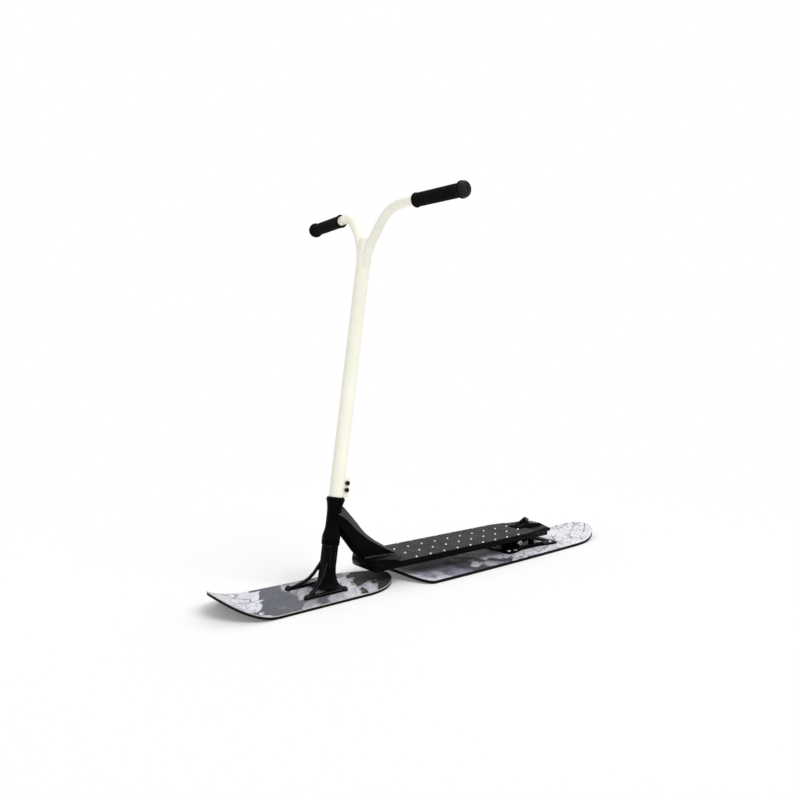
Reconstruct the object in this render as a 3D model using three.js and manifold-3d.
// Snow scooter: a stand-on deck that steers a short front board and rocks on a longer rear board.
// Millimetres, +Z up, the nose towards -Y and the rider's left towards +X.
// The origin is on the ground, under the middle of the whole scooter.
import * as THREE from 'three';
import { mergeVertices } from 'three/addons/utils/BufferGeometryUtils.js';
import Module from 'manifold-3d';

const wasm = await Module();
wasm.setup();

// Gaps, cuts and facets
const seatGap = 0.3;          // between two pieces that seat on each other
const overrun = 3;            // how far a cut runs past the face that it opens
const weldDistance = 0.0001;  // vertices closer than this are one vertex
const fullTurn = 2 * Math.PI;
const fineSides = 24;         // tubes, rings and bars
const coarseSides = 12;       // bolts, bushes and inserts
const cornerSteps = 4;        // round corners of the pedestal
const middleStations = 7;     // rings of a board between its two ends
const cheekSteps = 10;        // round tops of the truck's cheeks

// Steering axis: it leans back and meets the ground behind the front board's nose
const rakeAngle = THREE.MathUtils.degToRad(8.8);
const frontReach = 288;       // nose of the front board to the steering axis, on the ground
const frontTrail = 184;       // steering axis to the tail of the front board
const boardGap = 12;          // tail of the front board to the nose of the rear board
const deckSetback = 99;       // steering axis on the ground to the front end of the deck

// Boards
const boardThickness = 8;
const boardChamfer = 1.6;
const frontBoard = {
  noseHalfWidth: 102,
  middleHalfWidth: 94,
  tailHalfWidth: 90,
  noseRound: 98,
  noseRoundPower: 1.8,
  noseRise: 47,
  noseRun: 122,
  tailRound: 120,
  tailRoundPower: 1.9,
  tailRise: 7,
  tailRun: 75,
};
const rearBoard = {
  noseHalfWidth: 117,
  middleHalfWidth: 109,
  tailHalfWidth: 88,
  noseRound: 52,
  noseRoundPower: 1.8,
  noseRise: 16,
  noseRun: 55,
  tailRound: 165,
  tailRoundPower: 2.4,
  tailRise: 24,
  tailRun: 112,
};
const rearReach = 321;        // rocker pin to the tail of the rear board

// Deck
const deckLength = 637;
const deckHalfWidth = 73;
const deckTop = 59.4;
const deckThickness = 25.4;
const deckSideHeight = 13.5;
const deckEdgeChamfer = 1.5;
const deckBaseHalfWidth = 44;
const deckNoseHalfWidth = 30;
const deckShoulderHalfWidth = 51;
const deckShoulderLength = 16;
const deckTaperLength = 70;
const deckTailTaper = 112;
const prongHalfWidth = 50;
const prongCorner = 3;
const slotHalfWidth = 22;
const slotLength = 92;
const slotCornerShare = 0.16; // of the slot's half-width
const channelInnerX = 4;
const channelOuterX = 40;
const channelDepth = 17;
const channelFrontMargin = 68;
const channelRearMargin = 38;
const deckNoseEdge = 4;
const deckNoseBevel = 19;

// Grip sheet and its studs
const sheetThickness = 1;
const sheetInset = 1;
const studPitch = 45.7;
const studRowsPerSide = 2;
const studFirst = 127;        // front end of the deck to the first column of studs
const studRadius = 2.7;
const studTipRadius = 1.1;
const studHeight = 2.9;
const studSides = 6;

// Head tube and headset, by height along the steering axis
const pedestalHeight = 112;
const crownRaceHeight = 5.6;
const cupHeight = 5.4;
const headTubeLength = 99;
const headWaistRadius = 17;
const headBottomRadius = 21.8;
const headTopRadius = 22.6;
const headBoreRadius = 15.2;
const bearingRadius = 19.2;
const bearingHeight = 6.4;
const compressionRingWall = 1.2;
const headCapHeight = 3;
const headCapRadius = 21;

// Steerer, handlebar and clamp
const steererRadius = 14.3;
const steererWall = 2.5;
const steererSocketDepth = 32;
const steererTop = 300;
const preloadCapHeight = 5;
const preloadBoltRadius = 3;
const preloadBoltLength = 34;
const starNutHeight = 9;
const starNutDepth = 20;      // top of the steerer to the top of the star nut
const barTubeRadius = 17.5;
const barTubeTop = 858;
const barBoreTop = 775;
const armRadius = 11.6;
const armRoot = 782;
const gripHeight = 928.8;
const gripSetback = 19.8;
const gripInnerX = 155.7;
const gripLength = 148;
const gripBackSweep = THREE.MathUtils.degToRad(4.2);
const gripRadius = 15.9;
const gripFlangeRadius = 19.4;
const gripFlangeLength = 6;
const gripLipRadius = 17.3;
const gripLipLength = 3;
const barEndRadius = 18.4;
const barEndLength = 9.5;
const barEndFaceRadius = 13.4;
const barEndRimShare = 0.35;
const barEndRoundShare = 0.75;
const plugRadius = 8.6;
const plugLength = 22;
const armSides = 16;
const armSteps = 14;
const armOverlapShare = 0.25;   // of its radius: how far the straight part reaches back into the curve
const clampHeight = 48;
const clampSlit = 3;
const earThickness = 8.5;
const earReach = 12;            // behind the tube
const earCorner = 4;
const clampBoltRadius = 2.5;
const clampBoltRise = 2.7;      // above the middle of the ears
const clampBoltSetback = 3.1;   // behind the tube
const clampBoltPitch = 16.5;
const capHeadRadius = 5.2;
const capHeadHeight = 5.5;
const capHexRadius = 2.5;
const capHexDepth = 2.6;

// Front pedestal
const columnHalf = 17.4;
const columnCorner = 11;
const panelHalfWidth = 4.6;
const panelDepth = 1.3;
const panelBottom = 62;
const panelTop = 104;
const footHalfTrack = 44;
const footFront = 74;         // ahead of the steering axis on the ground
const footRear = 28;          // behind it
const railHalfWidth = 5.5;
const railHeight = 7;
const footRadius = 7.6;
const strutHalfWidth = 4.2;
const strutHalfDepth = 3.5;
const frontStrutTop = 77;
const rearStrutTop = 60;
const strutRootShare = 0.6;
const flareTop = 60;
const flareBase = 8.6;
const flareReach = 29;
const screwHeadRoom = 19;     // clear height over each screw, under the struts

// Fasteners in the boards
const boardBoltRadius = 3;
const boardBoltHeadRadius = 5.2;
const boardBoltHeadHeight = 3.6;
const boardBoltReach = 4.6;
const insertRadius = 5;
const insertHeight = 6;

// Neck between the head tube and the deck
const neckHalfWidth = 18;
const neckRidgeHalfWidth = 4;
const neckLowHalfWidth = 15;
const neckKeelHalfWidth = 3.5;
const neckKeelRise = 15;
const neckSetback = 26;       // start of the neck, behind the axis on the ground
const neckLength = 176;
const neckHeight = 156;
const neckPitch = 28;         // height of its pitched top, where that is steepest
const footPlateHeight = 6;
const footPlateLength = 101;
const footPlateTipHalfWidth = 35;
const footPlateLip = 1.6;

// Rear hanger, truck and rocker pin
const rockerPinFromDeckEnd = 101;
const rockerPinHeight = 24;
const rockerPinRadius = 5;
const lugRadius = 9.4;
const bushWall = 2;
const hangerHalfWidth = 19;
const hangerTailReach = 46;   // behind the end of the deck
const hangerCrown = 12;       // above the top of the deck
const hangerFrontGap = 3;     // to the front of the slot
const hangerChamfer = 3;
const hornTipHalfLength = 1.5;
const hornHalfWidth = 4;
const hornRise = 26;          // above the top of the deck
const axleFromDeckEnd = 30;
const axleDrop = 12.4;        // below the top of the deck
const axleRadius = 4;
const axleSeatX = 52;
const spotFaceRadius = 8.5;
const axleNutRadius = 7.5;
const axleNutHeight = 5;
const spacerRadius = 8;
const cheekThickness = 9;
const basePlateHeight = 5;
const basePlateFront = 74;    // ahead of the rocker pin
const basePlateRear = 132;    // behind it
const basePlateHalfWidth = 62;
const basePlateWaist = 50;
const basePlateCorner = 4.5;
const baseRibHeight = 5;
const baseRibHalfWidth = 2.5;
const baseRibShare = 0.7;     // of the plate's reach
const bumpRadius = 9;
const bumpHeight = 12.5;
const bumpTrack = 32;
const bumpSetback = 48;
const windowHalfWidth = 31;
const windowFront = 71;       // behind the rocker pin
const windowRear = 114;
const pinHeadRadius = 8;
const pinHeadHeight = 7;

// Places that follow from the sizes above
const noseToPin = frontReach + deckSetback + deckLength - rockerPinFromDeckEnd;
const noseY = -(noseToPin + rearReach) / 2;
const axisY = noseY + frontReach;
const frontTailY = axisY + frontTrail;
const rearNoseY = frontTailY + boardGap;
const deckFrontY = axisY + deckSetback;
const deckRearY = deckFrontY + deckLength;
const pinY = deckRearY - rockerPinFromDeckEnd;
const rearTailY = pinY + rearReach;
const deckBase = deckTop - deckThickness;
const slotFrontY = deckRearY - slotLength;
const axleY = deckRearY - axleFromDeckEnd;
const axleZ = deckTop - axleDrop;
const hornPeakY = slotFrontY + hangerFrontGap + slotLength / 2;
const hornBoltZ = deckTop + (hornRise + hangerCrown) / 2;
const railBase = boardThickness + seatGap;
const crownRaceBase = pedestalHeight + seatGap;
const cupBase = crownRaceBase + crownRaceHeight + seatGap;
const headTubeBase = cupBase + cupHeight + seatGap;
const headTubeTop = headTubeBase + headTubeLength;
const headCapBase = headTubeTop + seatGap;
const barBase = headCapBase + headCapHeight + seatGap;
const barBoreRadius = steererRadius + seatGap;
const steererBase = pedestalHeight - steererSocketDepth + seatGap;
const preloadCapBase = steererTop + seatGap;
const starNutTop = steererTop - starNutDepth;
const clampBase = barBase + seatGap;
const clampTop = clampBase + clampHeight;
const earX = clampSlit / 2 + earThickness;
const clampBoltY = barTubeRadius + clampBoltSetback;
const clampBoltMiddle = (clampBase + clampTop) / 2 + clampBoltRise;
const clampBoltHeights = [-1, 1].map((half) => clampBoltMiddle + half * clampBoltPitch / 2);

// Solids

// One closed mesh with its faces turned outwards, from any closed geometry.
function welded(geometry) {
  const bare = geometry.clone();
  bare.deleteAttribute('normal');
  bare.deleteAttribute('uv');
  const merged = mergeVertices(bare, weldDistance);
  const position = merged.attributes.position;
  const corners = [new THREE.Vector3(), new THREE.Vector3(), new THREE.Vector3()];
  const kept = [];
  let volume = 0;
  for (let i = 0; i < merged.index.count; i += 3) {
    const [a, b, c] = [0, 1, 2].map((k) => merged.index.getX(i + k));
    if (a === b || b === c || c === a) continue;
    [a, b, c].forEach((index, k) => corners[k].fromBufferAttribute(position, index));
    volume += corners[0].dot(corners[1].clone().cross(corners[2]));
    kept.push([a, b, c]);
  }
  const faces = volume < 0 ? kept.map(([a, b, c]) => [a, c, b]) : kept;
  return new THREE.BufferGeometry().setAttribute('position', position).setIndex(faces.flat());
}

function solidOf(geometry) {
  const { attributes, index } = welded(geometry);
  return new wasm.Manifold(new wasm.Mesh({
    numProp: 3,
    vertProperties: new Float32Array(attributes.position.array),
    triVerts: new Uint32Array(index.array),
  }));
}

function geometryOf(solid) {
  const { vertProperties, triVerts } = solid.getMesh();
  return new THREE.BufferGeometry()
    .setAttribute('position', new THREE.BufferAttribute(new Float32Array(vertProperties), 3))
    .setIndex(new THREE.BufferAttribute(new Uint32Array(triVerts), 1));
}

function joined(...geometries) {
  return geometryOf(geometries.map(solidOf).reduce((whole, next) => whole.add(next)));
}

function without(geometry, ...tools) {
  const cut = tools.map(solidOf).reduce((whole, next) => whole.subtract(next), solidOf(geometry));
  return geometryOf(cut);
}

function common(geometry, mask) {
  return geometryOf(solidOf(geometry).intersect(solidOf(mask)));
}

// Shapes

const points2 = (pairs) => pairs.map(([x, y]) => new THREE.Vector2(x, y));

// A closed outline turned about Z: pairs of radius and height.
function turned(profile, sides = fineSides) {
  return new THREE.LatheGeometry(points2(profile), sides).rotateX(Math.PI / 2);
}

function ring(inner, outer, low, high, sides = fineSides) {
  return turned([[inner, low], [outer, low], [outer, high], [inner, high], [inner, low]], sides);
}

function rod(radius, low, high, sides = fineSides) {
  return turned([[0, low], [radius, low], [radius, high], [0, high]], sides);
}

// The same shapes lying along X, from one X to another.
const alongX = (geometry) => geometry.rotateY(Math.PI / 2);
const rodX = (radius, low, high, sides) => alongX(rod(radius, low, high, sides));
const ringX = (inner, outer, low, high, sides) => alongX(ring(inner, outer, low, high, sides));

function box(lowX, highX, lowY, highY, lowZ, highZ) {
  const geometry = new THREE.BoxGeometry(highX - lowX, highY - lowY, highZ - lowZ);
  return geometry.translate((lowX + highX) / 2, (lowY + highY) / 2, (lowZ + highZ) / 2);
}

function extruded(shape, depth) {
  return new THREE.ExtrudeGeometry(shape, { depth, bevelEnabled: false, curveSegments: coarseSides / 2 });
}

// A plan outline, given as X and Y, standing from one height to another.
function standing(outline, low, high) {
  const shape = outline instanceof THREE.Shape ? outline : new THREE.Shape(points2(outline));
  return extruded(shape, high - low).translate(0, 0, low);
}

// A side outline, given as Y and Z, running across the scooter from one X to another.
function across(outline, low, high) {
  const shape = new THREE.Shape(points2(outline));
  return extruded(shape, high - low).rotateX(Math.PI / 2).rotateZ(Math.PI / 2).translate(low, 0, 0);
}

// A cross-section, given as X and Z, running back from one Y to another.
function lengthwise(section, front, rear) {
  const shape = new THREE.Shape(points2(section));
  return extruded(shape, rear - front).rotateX(Math.PI / 2).translate(0, rear, 0);
}

const mirroredX = (pairs) => [...pairs, ...pairs.map(([x, y]) => [-x, y]).reverse()];

// A skin over rings of as many points each, closed by a fan at both ends.
function lofted(rings) {
  const count = rings[0].length;
  const faces = [];
  for (let r = 0; r + 1 < rings.length; r += 1) {
    for (let k = 0; k < count; k += 1) {
      const [a, b] = [r * count + k, r * count + (k + 1) % count];
      faces.push(a, b, b + count, a, b + count, a + count);
    }
  }
  const last = (rings.length - 1) * count;
  for (let k = 1; k + 1 < count; k += 1) {
    faces.push(0, k + 1, k, last, last + k, last + k + 1);
  }
  return new THREE.BufferGeometry().setFromPoints(rings.flat()).setIndex(faces);
}

// Takes a shape that is drawn about the steering axis to where the axis stands.
const steeringPlace = new THREE.Matrix4()
  .makeRotationX(-rakeAngle)
  .setPosition(0, axisY, 0);
const onAxis = (geometry) => geometry.clone().applyMatrix4(steeringPlace);
const axisPoint = (height) => new THREE.Vector3(0, 0, height).applyMatrix4(steeringPlace);

// Boards

// Eases from 0 at the start of the bend to 1 at the tip.
const bend = (fromTip, run) => Math.max(0, 1 - fromTip / run) ** 2;

// Rounds an end in plan: 0 at the tip, 1 once the full width is reached.
function endRound(fromTip, run, power) {
  const left = 1 - Math.min(1, fromTip / run);
  return (1 - left ** power) ** (1 / power);
}

// The parabola through three half-widths: at the nose, in the middle and at the tail.
function bodyHalfWidth(b, along) {
  const curve = 2 * (b.noseHalfWidth + b.tailHalfWidth - 2 * b.middleHalfWidth);
  return b.noseHalfWidth + (b.tailHalfWidth - b.noseHalfWidth - curve) * along + curve * along ** 2;
}

const stationShares = [0.003, 0.015, 0.04, 0.08, 0.14, 0.23, 0.34, 0.48, 0.64, 0.82, 1];
function boardBody(b, noseEnd, tailEnd) {
  const ringAt = (y) => {
    const [fromNose, fromTail] = [y - noseEnd, tailEnd - y];
    const half = bodyHalfWidth(b, fromNose / (tailEnd - noseEnd))
      * endRound(fromNose, b.noseRound, b.noseRoundPower)
      * endRound(fromTail, b.tailRound, b.tailRoundPower);
    const low = b.noseRise * bend(fromNose, b.noseRun) + b.tailRise * bend(fromTail, b.tailRun);
    const side = mirroredX([
      [half - boardChamfer, low],
      [half, low + boardChamfer],
      [half, low + boardThickness - boardChamfer],
      [half - boardChamfer, low + boardThickness],
    ]);
    return side.map(([x, z]) => new THREE.Vector3(x, y, z));
  };
  const noseLength = Math.max(b.noseRun, b.noseRound);
  const tailLength = Math.max(b.tailRun, b.tailRound);
  const noseStations = stationShares.map((share) => noseEnd + noseLength * share);
  const tailStations = stationShares.map((share) => tailEnd - tailLength * share).reverse();
  const middle = [];
  for (let i = 1; i < middleStations; i += 1) {
    middle.push(noseStations.at(-1) + (tailStations[0] - noseStations.at(-1)) * i / middleStations);
  }
  const rings = [...noseStations, ...middle, ...tailStations].map(ringAt);
  rings[0].forEach((p) => { p.y = noseEnd; });
  rings.at(-1).forEach((p) => { p.y = tailEnd; });
  return lofted(rings);
}

// Blind holes for the threaded inserts, from the top of a board.
const insertHoles = (places) => places.map(([x, y]) => rod(
  insertRadius + seatGap,
  boardThickness - insertHeight - seatGap,
  boardThickness + overrun,
  coarseSides,
).translate(x, y, 0));

const footPlaces = [
  [footHalfTrack, axisY - footFront],
  [-footHalfTrack, axisY - footFront],
  [footHalfTrack, axisY + footRear],
  [-footHalfTrack, axisY + footRear],
];

const basePairShares = [
  [0.8, -0.84],
  [0.86, -0.56],
  [0.8, 0.82],
];
const baseBoltPlaces = basePairShares.flatMap(([xShare, yShare]) => [1, -1].map((side) => [
  side * basePlateHalfWidth * xShare,
  pinY + yShare * (yShare < 0 ? basePlateFront : basePlateRear),
]));

const boardWithInserts = (b, noseEnd, tailEnd, places) => without(
  boardBody(b, noseEnd, tailEnd),
  ...insertHoles(places),
);

const threadedInsert = ([x, y]) => ring(
  boardBoltRadius + seatGap,
  insertRadius,
  boardThickness - insertHeight,
  boardThickness,
  coarseSides,
).translate(x, y, 0);

// A button-head screw that clamps a plate of the given top height to a board's insert.
function boardScrew([x, y], plateTop) {
  const headBase = plateTop + seatGap;
  const crown = headBase + boardBoltHeadHeight;
  const rimShare = 0.45;
  const faceShare = 0.6;
  const screw = turned([
    [0, boardThickness - boardBoltReach],
    [boardBoltRadius, boardThickness - boardBoltReach],
    [boardBoltRadius, headBase],
    [boardBoltHeadRadius, headBase],
    [boardBoltHeadRadius, headBase + boardBoltHeadHeight * rimShare],
    [boardBoltHeadRadius * faceShare, crown],
    [0, crown],
  ], coarseSides);
  const socket = new THREE.CylinderGeometry(capHexRadius, capHexRadius, capHexDepth + overrun, 6)
    .rotateX(Math.PI / 2)
    .translate(0, 0, crown - capHexDepth + (capHexDepth + overrun) / 2);
  return without(screw, socket).translate(x, y, 0);
}

// Front pedestal

// A round-cornered ring across the steering axis: half-widths and reaches at its front and rear.
function columnRing({ frontX, frontY, rearX, rearY }, height) {
  const corners = [
    [rearX, rearY, 1, 1], [rearX, rearY, -1, 1], [frontX, frontY, -1, -1], [frontX, frontY, 1, -1],
  ];
  return corners.flatMap(([x, y, sx, sy], quarter) => [...Array(cornerSteps + 1).keys()].map((k) => {
    const angle = (quarter + k / cornerSteps) * fullTurn / 4;
    return new THREE.Vector3(
      sx * (x - columnCorner) + columnCorner * Math.cos(angle),
      sy * (y - columnCorner) + columnCorner * Math.sin(angle),
      height,
    ).applyMatrix4(steeringPlace);
  }));
}

// A rib of rectangular section that follows points in an upright plane.
function rib(path, halfWidth, halfDepth) {
  const end = path.at(-1);
  const out = new THREE.Vector3(end.x - path[0].x, end.y - path[0].y, 0).normalize();
  const sideways = new THREE.Vector3(-out.y, out.x, 0);
  return lofted(path.map((point, i) => {
    const ahead = path[Math.min(i + 1, path.length - 1)];
    const behind = path[Math.max(i - 1, 0)];
    const normal = ahead.clone().sub(behind).normalize().cross(sideways);
    return [[1, 1], [-1, 1], [-1, -1], [1, -1]].map(([w, d]) => point.clone()
      .addScaledVector(sideways, w * halfWidth)
      .addScaledVector(normal, d * halfDepth));
  }));
}

// Shares of the way out and of the way up, from the column to a foot.
const frontStrutShares = [
  [0, 1], [0.065, 0.855], [0.16, 0.68], [0.255, 0.507], [0.39, 0.333], [0.56, 0.188], [0.83, 0.05], [1, 0],
];
const rearStrutShares = [[0, 1], [0.05, 0.7], [0.16, 0.42], [0.3, 0.22], [0.46, 0.1], [0.7, 0.03], [1, 0]];

function strut(from, to, shares, halfWidth) {
  const path = shares.map(([out, up]) => new THREE.Vector3(
    from.x + (to.x - from.x) * out,
    from.y + (to.y - from.y) * out,
    to.z + (from.z - to.z) * up,
  ));
  return rib(path, halfWidth, strutHalfDepth);
}

// The flare of the column at its foot, as shares: height, then front and rear half-widths and reaches.
const flareShares = [
  [0, 0.92, 0.05, 1, 0.41],
  [0.05, 0.45, 0.045, 0.8, 0.39],
  [0.15, 0.17, 0.035, 0.54, 0.32],
  [0.3, 0.06, 0.02, 0.33, 0.21],
  [0.5, 0.02, 0.015, 0.18, 0.11],
  [0.73, 0.007, 0.007, 0.055, 0.03],
  [1, 0, 0, 0, 0],
];

function pedestalColumn() {
  const flare = flareShares.map(([up, ...out]) => {
    const [frontX, frontY, rearX, rearY] = out.map((share) => columnHalf + flareReach * share);
    return columnRing({ frontX, frontY, rearX, rearY }, flareBase + (flareTop - flareBase) * up);
  });
  const straight = { frontX: columnHalf, frontY: columnHalf, rearX: columnHalf, rearY: columnHalf };
  return lofted([...flare, columnRing(straight, pedestalHeight)]);
}

function frontPedestal() {
  const railTop = railBase + railHeight;
  const parts = [pedestalColumn()];
  for (const side of [1, -1]) {
    const front = new THREE.Vector3(side * footHalfTrack, axisY - footFront, railTop - strutHalfDepth);
    const rear = new THREE.Vector3(side * footHalfTrack, axisY + footRear, railTop - strutHalfDepth);
    const inside = columnHalf * strutRootShare;
    const frontRoot = axisPoint(frontStrutTop).add(new THREE.Vector3(side * inside, -inside, 0));
    const rearRoot = axisPoint(rearStrutTop).add(new THREE.Vector3(side * inside / 2, inside / 2, 0));
    parts.push(strut(frontRoot, front, frontStrutShares, strutHalfWidth));
    parts.push(strut(rearRoot, rear, rearStrutShares, strutHalfWidth + strutHalfDepth));
    parts.push(box(
      front.x - railHalfWidth, front.x + railHalfWidth, front.y, rear.y, railBase, railTop,
    ));
    for (const foot of [front, rear]) {
      parts.push(rod(footRadius, railBase, railTop).translate(foot.x, foot.y, 0));
    }
  }
  const span = frontReach + frontTrail;
  const belowBoard = box(-span, span, noseY, frontTailY, -pedestalHeight, railBase);
  const socket = onAxis(rod(
    steererRadius + seatGap, pedestalHeight - steererSocketDepth, pedestalHeight + overrun,
  ));
  const panels = [1, -1].map((side) => onAxis(box(
    Math.min(side * (columnHalf - panelDepth), side * (columnHalf + overrun)),
    Math.max(side * (columnHalf - panelDepth), side * (columnHalf + overrun)),
    -panelHalfWidth, panelHalfWidth, panelBottom, panelTop,
  )));
  const boltHoles = footPlaces.map(([x, y]) => rod(
    boardBoltRadius + seatGap, railBase - overrun, railTop + overrun, coarseSides,
  ).translate(x, y, 0));
  const headRooms = footPlaces.map(([x, y]) => rod(
    boardBoltHeadRadius + seatGap, railTop, railTop + screwHeadRoom, coarseSides,
  ).translate(x, y, 0));
  return without(joined(...parts), belowBoard, socket, ...panels, ...boltHoles, ...headRooms);
}

// Headset, drawn about the steering axis

const steererTube = () => ring(steererRadius - steererWall, steererRadius, steererBase, steererTop);

function crownRace() {
  const bore = steererRadius + seatGap;
  const top = crownRaceBase + crownRaceHeight;
  const lip = crownRaceHeight / 3;
  return turned([
    [bore, crownRaceBase], [headBottomRadius - lip, crownRaceBase], [headBottomRadius, crownRaceBase + lip],
    [headBottomRadius, top - lip / 2], [headBottomRadius - lip / 2, top], [bore, top],
    [bore, crownRaceBase],
  ]);
}

function lowerCup() {
  const top = cupBase + cupHeight;
  const outer = headBottomRadius + seatGap;
  const lip = cupHeight / 5;
  return turned([
    [headBoreRadius, cupBase], [outer - lip, cupBase], [outer, cupBase + lip],
    [outer, top], [headBoreRadius, top], [headBoreRadius, cupBase],
  ]);
}

const bearingInnerRadius = steererRadius + compressionRingWall + 2 * seatGap;
const bearingSeatRadius = bearingRadius + seatGap;
const bearingSeatDepth = bearingHeight + 2 * seatGap;

function bearing(base) {
  const lip = bearingHeight / 8;
  const top = base + bearingHeight;
  const inner = bearingInnerRadius;
  return turned([
    [inner, base], [bearingRadius - lip, base], [bearingRadius, base + lip],
    [bearingRadius, top - lip], [bearingRadius - lip, top], [inner, top], [inner, base],
  ]);
}

const lowerBearing = () => bearing(headTubeBase + seatGap);
const upperBearingBase = headTubeTop - bearingSeatDepth + seatGap;
const upperBearing = () => bearing(upperBearingBase);

function compressionRing() {
  const bore = steererRadius + seatGap;
  return ring(bore, bore + compressionRingWall, upperBearingBase, upperBearingBase + bearingHeight);
}

function headCap() {
  const bore = steererRadius + seatGap;
  const top = headCapBase + headCapHeight;
  return turned([
    [bore, headCapBase], [headCapRadius, headCapBase], [headCapRadius, headCapBase + headCapHeight / 3],
    [headCapRadius - headCapHeight / 3, top], [bore, top], [bore, headCapBase],
  ]);
}

// Shares of the head tube's length, and how far its skin stands out from waist to rim there.
const headLowerShares = [[0, 1], [0.09, 1], [0.14, 0.78], [0.21, 0.36], [0.28, 0.1], [0.35, 0]];
const headUpperShares = [[0.81, 0], [0.865, 0.28], [0.9, 0.92], [0.935, 1], [0.98, 0.98], [1, 0.86]];

function headTubeSkin(grow) {
  const skin = (shares, rim) => shares.map(([up, out]) => [
    headWaistRadius + grow + (rim - headWaistRadius) * out,
    headTubeBase + headTubeLength * up,
  ]);
  return [...skin(headLowerShares, headBottomRadius), ...skin(headUpperShares, headTopRadius)];
}

function headTube() {
  const inside = [
    [bearingSeatRadius, headTubeTop], [bearingSeatRadius, headTubeTop - bearingSeatDepth],
    [headBoreRadius, headTubeTop - bearingSeatDepth], [headBoreRadius, headTubeBase + bearingSeatDepth],
    [bearingSeatRadius, headTubeBase + bearingSeatDepth], [bearingSeatRadius, headTubeBase],
  ];
  const outside = headTubeSkin(0);
  return turned([...outside, ...inside, outside[0]]);
}

// Handlebar, drawn about the steering axis: X across, Y back, Z up along it

// Arm centre line from its root to the grip: shares of the way across, up and back.
const armShares = [
  [0.045, 0, 0], [0.075, 0.2, 0], [0.14, 0.39, 0.02], [0.245, 0.58, 0.08], [0.385, 0.775, 0.1],
  [0.54, 0.905, 0.16], [0.74, 0.975, 0.46], [0.9, 0.998, 0.8], [1, 1, 1],
];

const gripPlace = (side) => new THREE.Matrix4()
  .makeTranslation(side * gripInnerX, gripSetback, gripHeight)
  .multiply(new THREE.Matrix4().makeRotationZ(side * gripBackSweep))
  .multiply(new THREE.Matrix4().makeRotationY(side * Math.PI / 2));

function armCircle() {
  const turns = [...Array(armSides).keys()].map((k) => k * fullTurn / armSides);
  const places = turns.map((turn) => [armRadius * Math.cos(turn), armRadius * Math.sin(turn)]);
  return new THREE.Shape(points2(places));
}

// From the tube's side to its grip, in a curve and then straight.
function arm(side) {
  const path = new THREE.CatmullRomCurve3(armShares.map(([out, up, back]) => new THREE.Vector3(
    side * gripInnerX * out,
    gripSetback * back,
    armRoot + (gripHeight - armRoot) * up,
  )));
  const curved = new THREE.ExtrudeGeometry(armCircle(), {
    steps: armSteps, extrudePath: path, bevelEnabled: false,
  });
  const straight = rod(armRadius, -armRadius * armOverlapShare, gripLength, armSides);
  return [curved, straight.applyMatrix4(gripPlace(side))];
}

// Two ears behind the foot of the tube, for the clamp bolts.
function clampEars() {
  const [front, rear] = [barTubeRadius / 2, barTubeRadius + earReach];
  const side = [
    [front, clampBase], [rear - earCorner, clampBase], [rear, clampBase + earCorner],
    [rear, clampTop - earCorner], [rear - earCorner, clampTop], [front, clampTop],
  ];
  return across(side, -earX, earX);
}

function handlebar() {
  const parts = [rod(barTubeRadius, barBase, barTubeTop), clampEars(), ...arm(1), ...arm(-1)];
  const armBores = [1, -1].map((side) => rod(
    plugRadius + seatGap, 0, gripLength + overrun, fineSides,
  ).applyMatrix4(gripPlace(side)));
  const bore = rod(barBoreRadius, barBase - overrun, barBoreTop);
  const behind = barTubeRadius + earReach + overrun;
  const slit = box(-clampSlit / 2, clampSlit / 2, 0, behind, barBase - overrun, clampTop + overrun);
  const boltBores = clampBoltHeights.map((height) => rodX(
    clampBoltRadius + seatGap, -earX - overrun, earX + overrun, coarseSides,
  ).translate(0, clampBoltY, height));
  return without(joined(...parts), bore, slit, ...armBores, ...boltBores);
}

function grip(side) {
  const bore = armRadius + seatGap;
  const flangeStart = gripLength - gripFlangeLength;
  const round = gripFlangeLength / 4;
  const sleeve = turned([
    [bore, 0], [gripLipRadius - round, 0], [gripLipRadius, round], [gripLipRadius, gripLipLength],
    [gripRadius, gripLipLength + round], [gripRadius, flangeStart - round],
    [gripFlangeRadius - round, flangeStart], [gripFlangeRadius, flangeStart + round],
    [gripFlangeRadius, gripLength - round],
    [gripFlangeRadius - round, gripLength], [bore, gripLength], [bore, 0],
  ]);
  return sleeve.applyMatrix4(gripPlace(side));
}

function barEnd(side) {
  const base = gripLength + seatGap;
  const tip = base + barEndLength;
  const plug = turned([
    [0, gripLength - plugLength], [plugRadius, gripLength - plugLength], [plugRadius, base],
    [barEndRadius, base], [barEndRadius, base + barEndLength * barEndRimShare],
    [barEndRadius - (barEndRadius - barEndFaceRadius) / 3, base + barEndLength * barEndRoundShare],
    [barEndFaceRadius, tip], [0, tip],
  ]);
  return plug.applyMatrix4(gripPlace(side));
}

// A cap screw lying along X, with its head on the rider's left.
function capScrewX(radius, from, headSeat, y, z) {
  const crown = headSeat + capHeadHeight;
  const screw = turned([
    [0, from], [radius, from], [radius, headSeat], [capHeadRadius, headSeat],
    [capHeadRadius, crown - capHexDepth / 4], [capHeadRadius - capHexDepth / 4, crown], [0, crown],
  ], coarseSides);
  const socket = new THREE.CylinderGeometry(capHexRadius, capHexRadius, capHexDepth + overrun, 6)
    .rotateX(Math.PI / 2)
    .translate(0, 0, crown - capHexDepth + (capHexDepth + overrun) / 2);
  return alongX(without(screw, socket)).translate(0, y, z);
}

const clampBolt = (height) => capScrewX(clampBoltRadius, -earX, earX + seatGap, clampBoltY, height);

// Preload cap, bolt and star nut inside the steerer and the bar

const preloadCap = () => ring(
  preloadBoltRadius + seatGap, steererRadius, preloadCapBase, preloadCapBase + preloadCapHeight,
);

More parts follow.
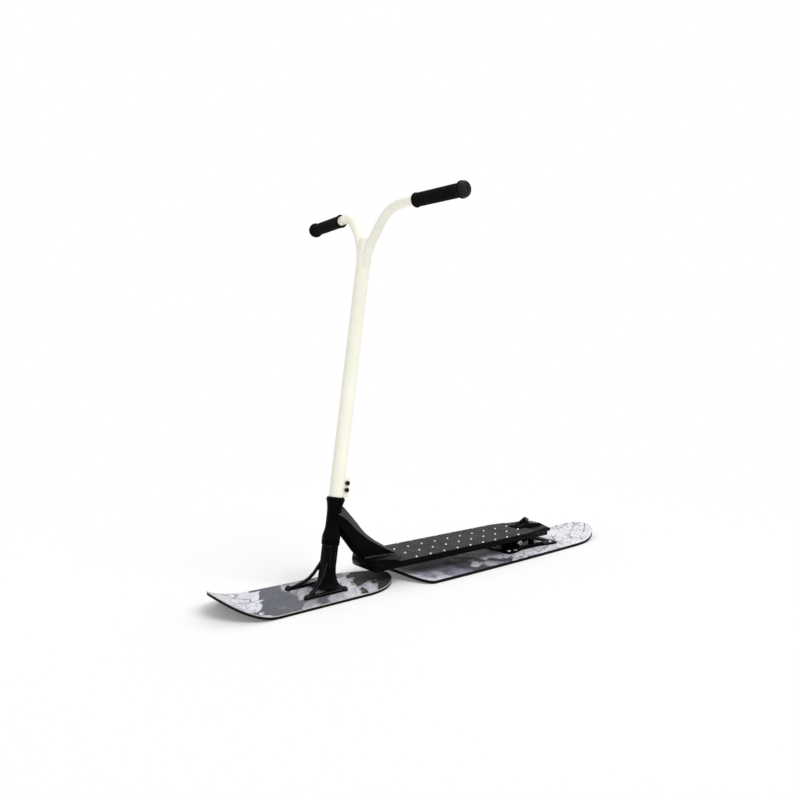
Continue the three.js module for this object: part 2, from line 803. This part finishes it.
function preloadBolt() {
  const headBase = preloadCapBase + preloadCapHeight + seatGap;
  return turned([
    [0, headBase - preloadBoltLength], [preloadBoltRadius, headBase - preloadBoltLength],
    [preloadBoltRadius, headBase], [capHeadRadius, headBase],
    [capHeadRadius, headBase + capHeadHeight], [0, headBase + capHeadHeight],
  ], coarseSides);
}

const starNut = () => ring(
  preloadBoltRadius + seatGap, steererRadius - steererWall - seatGap,
  starNutTop - starNutHeight, starNutTop,
);

// Deck

// Half of a plan outline of the deck, from the front end to the rear one.
function deckSide(inset, front, rear) {
  const sides = [
    [deckNoseHalfWidth, deckFrontY],
    [deckShoulderHalfWidth, deckFrontY + deckShoulderLength],
    [deckShoulderHalfWidth + sheetInset, deckFrontY + deckTaperLength / 2],
    [deckHalfWidth, deckFrontY + deckTaperLength],
    [deckHalfWidth, deckRearY - deckTailTaper],
    [prongHalfWidth + prongCorner, deckRearY - deckShoulderLength],
    [prongHalfWidth, deckRearY - prongCorner],
    [prongHalfWidth - prongCorner, deckRearY],
  ];
  const kept = sides.filter(([, y]) => y > front && y < rear);
  const widthAt = (y) => {
    const after = sides.findIndex(([, sideY]) => sideY >= y);
    const [x0, y0] = sides[Math.max(after - 1, 0)];
    const [x1, y1] = sides[Math.max(after, 0)];
    return y1 === y0 ? x1 : x0 + (x1 - x0) * (y - y0) / (y1 - y0);
  };
  return [[widthAt(front), front], ...kept, [widthAt(rear), rear]].map(([x, y]) => [x - inset, y]);
}

const deckPlan = (inset, front, rear) => mirroredX(deckSide(inset, front, rear));

const wheelSlot = (grow) => {
  const half = slotHalfWidth + grow;
  const front = slotFrontY - grow;
  const round = half * slotCornerShare;
  return [
    [half, deckRearY + overrun], [half, front + round], [half - round, front],
    [round - half, front], [-half, front + round], [-half, deckRearY + overrun],
  ];
};

function deck() {
  const section = mirroredX([
    [deckBaseHalfWidth, deckBase],
    [deckHalfWidth, deckTop - deckSideHeight],
    [deckHalfWidth, deckTop - deckEdgeChamfer],
    [deckHalfWidth - deckEdgeChamfer, deckTop],
  ]);
  const extrusion = lengthwise(section, deckFrontY, deckRearY);
  const plan = standing(deckPlan(0, deckFrontY, deckRearY), deckBase - overrun, deckTop + overrun);
  const slot = standing(wheelSlot(0), deckBase - overrun, deckTop + overrun);
  const channelSpans = [[channelInnerX, channelOuterX], [-channelOuterX, -channelInnerX]];
  const channels = channelSpans.map(([low, high]) => box(
    low, high, deckFrontY + channelFrontMargin, slotFrontY - channelRearMargin,
    deckBase - overrun, deckBase + channelDepth,
  ));
  const axleBore = rodX(axleRadius + seatGap, -deckHalfWidth, deckHalfWidth, coarseSides)
    .translate(0, axleY, axleZ);
  const spotFaces = [[axleSeatX, deckHalfWidth], [-deckHalfWidth, -axleSeatX]].map(([low, high]) => rodX(
    spotFaceRadius, low, high,
  ).translate(0, axleY, axleZ));
  const noseBevel = across([
    [deckFrontY - overrun, deckBase - overrun], [deckFrontY + deckNoseBevel, deckBase - overrun],
    [deckFrontY + deckNoseBevel, deckBase], [deckFrontY, deckTop - deckNoseEdge],
    [deckFrontY - overrun, deckTop - deckNoseEdge],
  ], -deckHalfWidth, deckHalfWidth);
  return without(common(extrusion, plan), slot, ...channels, axleBore, ...spotFaces, noseBevel);
}

const sheetBase = deckTop + seatGap;
const sheetTop = sheetBase + sheetThickness;
const sheetRearY = deckRearY - deckTailTaper + deckTaperLength;

function stud(x, y) {
  return turned([
    [0, sheetTop - sheetThickness / 2], [studRadius, sheetTop - sheetThickness / 2], [studRadius, sheetTop],
    [studTipRadius, sheetTop + studHeight], [0, sheetTop + studHeight],
  ], studSides).translate(x, y, 0);
}

// The neck's foot plate, seen from above: as wide as the deck at first, then narrowing to its rear edge.
const footPlateRearY = deckFrontY + footPlateLength;
function footPlatePlan(grow) {
  const inset = footPlateLip - grow;
  const side = deckSide(inset, deckFrontY + inset, deckFrontY + deckTaperLength);
  return mirroredX([...side, [footPlateTipHalfWidth + grow, footPlateRearY + grow]]);
}

function gripSheet() {
  const outline = deckPlan(deckEdgeChamfer, deckFrontY + deckTaperLength, sheetRearY);
  const sheet = standing(outline, sheetBase, sheetTop);
  const slot = standing(wheelSlot(sheetInset), sheetBase - overrun, sheetTop + overrun);
  const footRoom = footPlatePlan(footPlateLip + sheetInset);
  const footPlate = standing(footRoom, sheetBase - overrun, sheetTop + overrun);
  const studs = [];
  for (let y = deckFrontY + studFirst; y < sheetRearY - studRadius; y += studPitch) {
    for (let row = 0; row < 2 * studRowsPerSide; row += 1) {
      const x = (row - studRowsPerSide + 0.5) * studPitch;
      const taper = y > deckRearY - deckTailTaper && Math.abs(x) > studPitch;
      if (!taper) studs.push(stud(x, y));
    }
  }
  return joined(without(sheet, slot, footPlate), ...studs);
}

// Neck: a tapering box with a pitched top, on a wedge that spreads over the front of the deck.
// Shares: of its length, of its height at the ridge and at the base, of its top's pitch and its keel.
const neckShares = [
  [0, 1, 0.6, 1, 1],
  [0.16, 0.885, 0.374, 1, 1],
  [0.302, 0.703, 0.162, 0.93, 1],
  [0.386, 0.59, 0.06, 0.79, 1],
  [0.45, 0.5, 0, 0.62, 0.6],
  [0.53, 0.402, 0, 0.46, 0],
  [0.67, 0.28, 0, 0.32, 0],
  [0.81, 0.182, 0, 0.24, 0],
  [0.92, 0.1, 0, 0.16, 0],
  [1, 0.04, 0, 0.08, 0],
];
function neck() {
  const base = deckTop + seatGap;
  const rings = neckShares.map(([along, top, bottom, pitch, keel]) => {
    const y = axisY + neckSetback + neckLength * along;
    const [ridge, low] = [base + neckHeight * top, base + neckHeight * bottom];
    const half = neckHalfWidth + (neckLowHalfWidth - neckHalfWidth) * along;
    const turnUp = low + Math.max(neckKeelRise * keel, seatGap);
    const shoulder = Math.max(ridge - neckPitch * pitch, turnUp + seatGap);
    const side = [
      [half - (half - neckKeelHalfWidth) * keel, low], [half, turnUp],
      [half, shoulder], [neckRidgeHalfWidth, ridge],
    ];
    return mirroredX(side).map(([x, z]) => new THREE.Vector3(x, y, z));
  });
  const wedge = standing(footPlatePlan(0), base, base + footPlateHeight);
  const clear = base + footPlateHeight + overrun;
  const slope = across([
    [deckFrontY + deckTaperLength / 2, base + footPlateHeight],
    [footPlateRearY + overrun, base + footPlateLip], [footPlateRearY + overrun, clear],
    [deckFrontY, clear], [deckFrontY, base + footPlateHeight],
  ], -deckHalfWidth, deckHalfWidth);
  const skin = headTubeSkin(seatGap);
  const [lowRim, highRim] = [skin[0], skin.at(-1)];
  const headRoom = onAxis(turned([
    [0, lowRim[1] - neckHeight / 2], [lowRim[0], lowRim[1] - neckHeight / 2], ...skin,
    [highRim[0], highRim[1] + neckHeight], [0, highRim[1] + neckHeight],
  ]));
  return without(joined(lofted(rings), without(wedge, slope)), headRoom);
}

// Rear hanger in the wheel slot, its axle and its horn

function hanger() {
  const slotY = slotFrontY + hangerFrontGap;
  const tailY = deckRearY + hangerTailReach;
  const underDeck = deckBase - seatGap;
  const lugFront = pinY - lugRadius;
  const toe = deckTop + hangerCrown / 2;
  const block = across([
    [lugFront, rockerPinHeight], [lugFront, underDeck], [slotY, underDeck],
    [slotY, toe - hangerChamfer], [slotY + hangerChamfer, toe],
    [slotY + slotLength / 3, deckTop + hangerCrown], [deckRearY, deckTop + hangerCrown / 2],
    [tailY, axleZ - axleRadius], [tailY, deckBase + hangerChamfer],
    [deckRearY, deckBase - hangerChamfer], [pinY + bumpSetback, rockerPinHeight - hangerChamfer],
    [pinY, rockerPinHeight - lugRadius],
    [pinY - lugRadius * Math.SQRT1_2, rockerPinHeight - lugRadius * Math.SQRT1_2],
  ], -hangerHalfWidth, hangerHalfWidth);
    const horn = across([
    [slotY + hangerChamfer, deckTop + hangerCrown / 3], [slotY + hangerChamfer, toe],
    [hornPeakY - hornTipHalfLength, deckTop + hornRise],
    [hornPeakY + hornTipHalfLength, deckTop + hornRise],
    [hornPeakY + hangerCrown, deckTop + hangerCrown], [hornPeakY + hangerCrown, deckTop + hangerCrown / 3],
  ], -hornHalfWidth, hornHalfWidth);
  const side = hangerHalfWidth + overrun;
  const pinBore = rodX(rockerPinRadius + bushWall + 2 * seatGap, -side, side, coarseSides)
    .translate(0, pinY, rockerPinHeight);
  const axleBore = rodX(axleRadius + seatGap, -side, side, coarseSides).translate(0, axleY, axleZ);
  const hornBore = rodX(
    clampBoltRadius + seatGap, -hornHalfWidth - overrun, hornHalfWidth + overrun, coarseSides,
  ).translate(0, hornPeakY, hornBoltZ);
  return without(joined(block, horn), pinBore, axleBore, hornBore);
}

const hornBolt = () => capScrewX(
  clampBoltRadius, -hornHalfWidth - capHeadHeight / 2, hornHalfWidth + seatGap, hornPeakY, hornBoltZ,
);

const axleBolt = () => capScrewX(axleRadius, -axleSeatX - axleNutHeight, axleSeatX + seatGap, axleY, axleZ);

const hexNutX = (bore, radius, low, high) => without(
  rodX(radius, low, high, 6),
  rodX(bore, low - overrun, high + overrun, coarseSides),
);

const axleNut = () => hexNutX(
  axleRadius + seatGap, axleNutRadius, -axleSeatX - axleNutHeight, -axleSeatX - seatGap,
).translate(0, axleY, axleZ);

const axleSpacer = (side) => {
  const ends = [side * (hangerHalfWidth + seatGap), side * (slotHalfWidth - seatGap)];
  return ringX(axleRadius + seatGap, spacerRadius, Math.min(...ends), Math.max(...ends))
    .translate(0, axleY, axleZ);
};

// Rear truck base, rocker pin and bump stops

const cheekInnerX = hangerHalfWidth + 2 * seatGap;
const cheekOuterX = cheekInnerX + cheekThickness;
const basePlateTop = railBase + basePlateHeight;

// Half of the base plate's wavy outline: share of the way to its end, share from waist to full width.
const basePlateShares = [
  [-1, 0.55], [-0.94, 0.9], [-0.8, 1], [-0.62, 0.96], [-0.4, 0.5], [-0.15, 0.1], [0.1, 0],
  [0.4, 0.08], [0.6, 0.4], [0.78, 0.86], [0.9, 0.94], [0.97, 0.8], [1, 0.5],
];

const basePlateSideX = (wide) => basePlateWaist + (basePlateHalfWidth - basePlateWaist) * wide;
const basePlateY = (along) => pinY + along * (along < 0 ? basePlateFront : basePlateRear);

function truckBase() {
  const outline = basePlateShares.map(([along, wide]) => [
    basePlateSideX(wide) - (Math.abs(along) === 1 ? basePlateCorner : 0), basePlateY(along),
  ]);
  const plate = standing(mirroredX(outline), railBase, basePlateTop);
  const cheekSide = [[pinY + 2 * lugRadius, railBase], [pinY - 2 * lugRadius, railBase]];
  for (let k = 0; k <= cheekSteps; k += 1) {
    const angle = Math.PI * (1 - k / cheekSteps);
    cheekSide.push([pinY + lugRadius * Math.cos(angle), rockerPinHeight + lugRadius * Math.sin(angle)]);
  }
  const cheeks = [[cheekInnerX, cheekOuterX], [-cheekOuterX, -cheekInnerX]]
    .map(([low, high]) => across(cheekSide.slice().reverse(), low, high));
  const ribShares = basePlateShares.filter(([along]) => Math.abs(along) < baseRibShare);
  const ribPath = (side) => ribShares.map(([along, wide]) => [
    side * (basePlateSideX(wide) - 2 * baseRibHalfWidth), basePlateY(along),
  ]);
  const ribs = [1, -1].map((side) => {
    const inner = ribPath(side).map(([x, y]) => [x - side * baseRibHalfWidth, y]);
    const outer = ribPath(side).map(([x, y]) => [x + side * baseRibHalfWidth, y]).reverse();
    const loop = side > 0 ? [...outer, ...inner] : [...inner, ...outer];
    return standing(loop, railBase + seatGap, basePlateTop + baseRibHeight);
  });
  const side = cheekOuterX + overrun;
  const pinBore = rodX(rockerPinRadius + seatGap, -side, side, coarseSides)
    .translate(0, pinY, rockerPinHeight);
  const boltHoles = baseBoltPlaces.map(([x, y]) => rod(
    boardBoltRadius + seatGap, railBase - overrun, basePlateTop + overrun, coarseSides,
  ).translate(x, y, 0));
  const headRooms = baseBoltPlaces.map(([x, y]) => rod(
    boardBoltHeadRadius + seatGap, basePlateTop, basePlateTop + 2 * baseRibHeight, coarseSides,
  ).translate(x, y, 0));
  const window = box(
    -windowHalfWidth, windowHalfWidth, pinY + windowFront, pinY + windowRear,
    railBase - overrun, basePlateTop + overrun,
  );
  return without(joined(plate, ...cheeks, ...ribs), window, pinBore, ...boltHoles, ...headRooms);
}

function rockerPin() {
  const seat = cheekOuterX + seatGap;
  const crown = seat + pinHeadHeight;
  const lip = pinHeadHeight / 4;
  return turned([
    [0, -seat - pinHeadHeight], [rockerPinRadius, -seat - pinHeadHeight], [rockerPinRadius, seat],
    [pinHeadRadius, seat], [pinHeadRadius, crown - lip], [pinHeadRadius - lip, crown], [0, crown],
  ], coarseSides).rotateY(Math.PI / 2).translate(0, pinY, rockerPinHeight);
}

const rockerNut = () => hexNutX(
  rockerPinRadius + seatGap, pinHeadRadius, -cheekOuterX - seatGap - pinHeadHeight, -cheekOuterX - seatGap,
).translate(0, pinY, rockerPinHeight);

const rockerBush = (side) => {
  const ends = [side * seatGap, side * hangerHalfWidth];
  const bore = rockerPinRadius + seatGap;
  return ringX(bore, bore + bushWall, Math.min(...ends), Math.max(...ends), coarseSides)
    .translate(0, pinY, rockerPinHeight);
};

function bumpStop(side) {
  const base = basePlateTop + seatGap;
  const round = bumpRadius / 4;
  return turned([
    [0, base], [bumpRadius, base], [bumpRadius, base + bumpHeight - round],
    [bumpRadius - round, base + bumpHeight], [0, base + bumpHeight],
  ]).translate(side * bumpTrack, pinY + bumpSetback, 0);
}

// Finishes

function finish(color, roughness, metalness) {
  return new THREE.MeshStandardMaterial({ color, roughness, metalness });
}
const blackPaint = () => finish(0x15151a, 0.5, 0.3);
const creamPaint = () => finish(0xf0ead6, 0.35, 0.1);
const topSheet = () => finish(0xb9b7c4, 0.3, 0.1);
const gritSheet = () => finish(0x4a4a4c, 0.9, 0);
const rubber = () => finish(0x101012, 0.85, 0);
const blackSteel = () => finish(0x18181a, 0.45, 0.8);
const brightSteel = () => finish(0xb8b8bc, 0.3, 0.9);
const brass = () => finish(0xb08d4a, 0.4, 0.9);

const scooter = new THREE.Group();
const steering = new THREE.Group();
steering.position.set(0, axisY, 0);
steering.rotation.x = -rakeAngle;
scooter.add(steering);

function add(group, name, geometry, material) {
  const flat = geometry.toNonIndexed();
  flat.computeVertexNormals();
  const mesh = new THREE.Mesh(flat, material);
  mesh.name = name;
  group.add(mesh);
}

// Pieces that stand in the scooter's own frame
const frontBoardBody = boardWithInserts(frontBoard, noseY, frontTailY, footPlaces);
add(scooter, 'front_board', frontBoardBody, topSheet());
add(scooter, 'front_pedestal', frontPedestal(), blackPaint());
footPlaces.forEach((place, i) => {
  add(scooter, `front_insert_${i + 1}`, welded(threadedInsert(place)), brass());
  add(scooter, `front_screw_${i + 1}`, boardScrew(place, railBase + railHeight), blackSteel());
});
add(scooter, 'deck', deck(), blackPaint());
add(scooter, 'neck', neck(), blackPaint());
add(scooter, 'grip_sheet', gripSheet(), gritSheet());
add(scooter, 'rear_hanger', hanger(), blackPaint());
add(scooter, 'horn_bolt', hornBolt(), brightSteel());
add(scooter, 'axle_bolt', axleBolt(), blackSteel());
add(scooter, 'axle_nut', axleNut(), blackSteel());
for (const [side, label] of [[1, 'left'], [-1, 'right']]) {
  add(scooter, `axle_spacer_${label}`, welded(axleSpacer(side)), brightSteel());
  add(scooter, `rocker_bush_${label}`, welded(rockerBush(side)), brass());
  add(scooter, `bump_stop_${label}`, welded(bumpStop(side)), rubber());
}
const rearBoardBody = boardWithInserts(rearBoard, rearNoseY, rearTailY, baseBoltPlaces);
add(scooter, 'rear_board', rearBoardBody, topSheet());
add(scooter, 'truck_base', truckBase(), blackPaint());
add(scooter, 'rocker_pin', welded(rockerPin()), brightSteel());
add(scooter, 'rocker_nut', rockerNut(), brightSteel());
baseBoltPlaces.forEach((place, i) => {
  add(scooter, `base_insert_${i + 1}`, welded(threadedInsert(place)), brass());
  add(scooter, `base_screw_${i + 1}`, boardScrew(place, basePlateTop), brightSteel());
});

// Pieces that stand about the steering axis
add(steering, 'steerer_tube', welded(steererTube()), blackSteel());
add(steering, 'crown_race', welded(crownRace()), blackSteel());
add(steering, 'lower_cup', welded(lowerCup()), blackSteel());
add(steering, 'lower_bearing', welded(lowerBearing()), brightSteel());
add(steering, 'upper_bearing', welded(upperBearing()), brightSteel());
add(steering, 'compression_ring', welded(compressionRing()), brightSteel());
add(steering, 'head_cap', welded(headCap()), blackPaint());
add(steering, 'head_tube', welded(headTube()), blackPaint());
add(steering, 'handlebar', handlebar(), creamPaint());
clampBoltHeights.forEach((height, i) => {
  add(steering, `clamp_bolt_${i + 1}`, clampBolt(height), blackSteel());
});
add(steering, 'preload_cap', welded(preloadCap()), blackSteel());
add(steering, 'preload_bolt', welded(preloadBolt()), blackSteel());
add(steering, 'star_nut', welded(starNut()), brightSteel());
for (const [side, label] of [[1, 'left'], [-1, 'right']]) {
  add(steering, `grip_${label}`, welded(grip(side)), rubber());
  add(steering, `bar_end_${label}`, welded(barEnd(side)), rubber());
}

export default scooter;
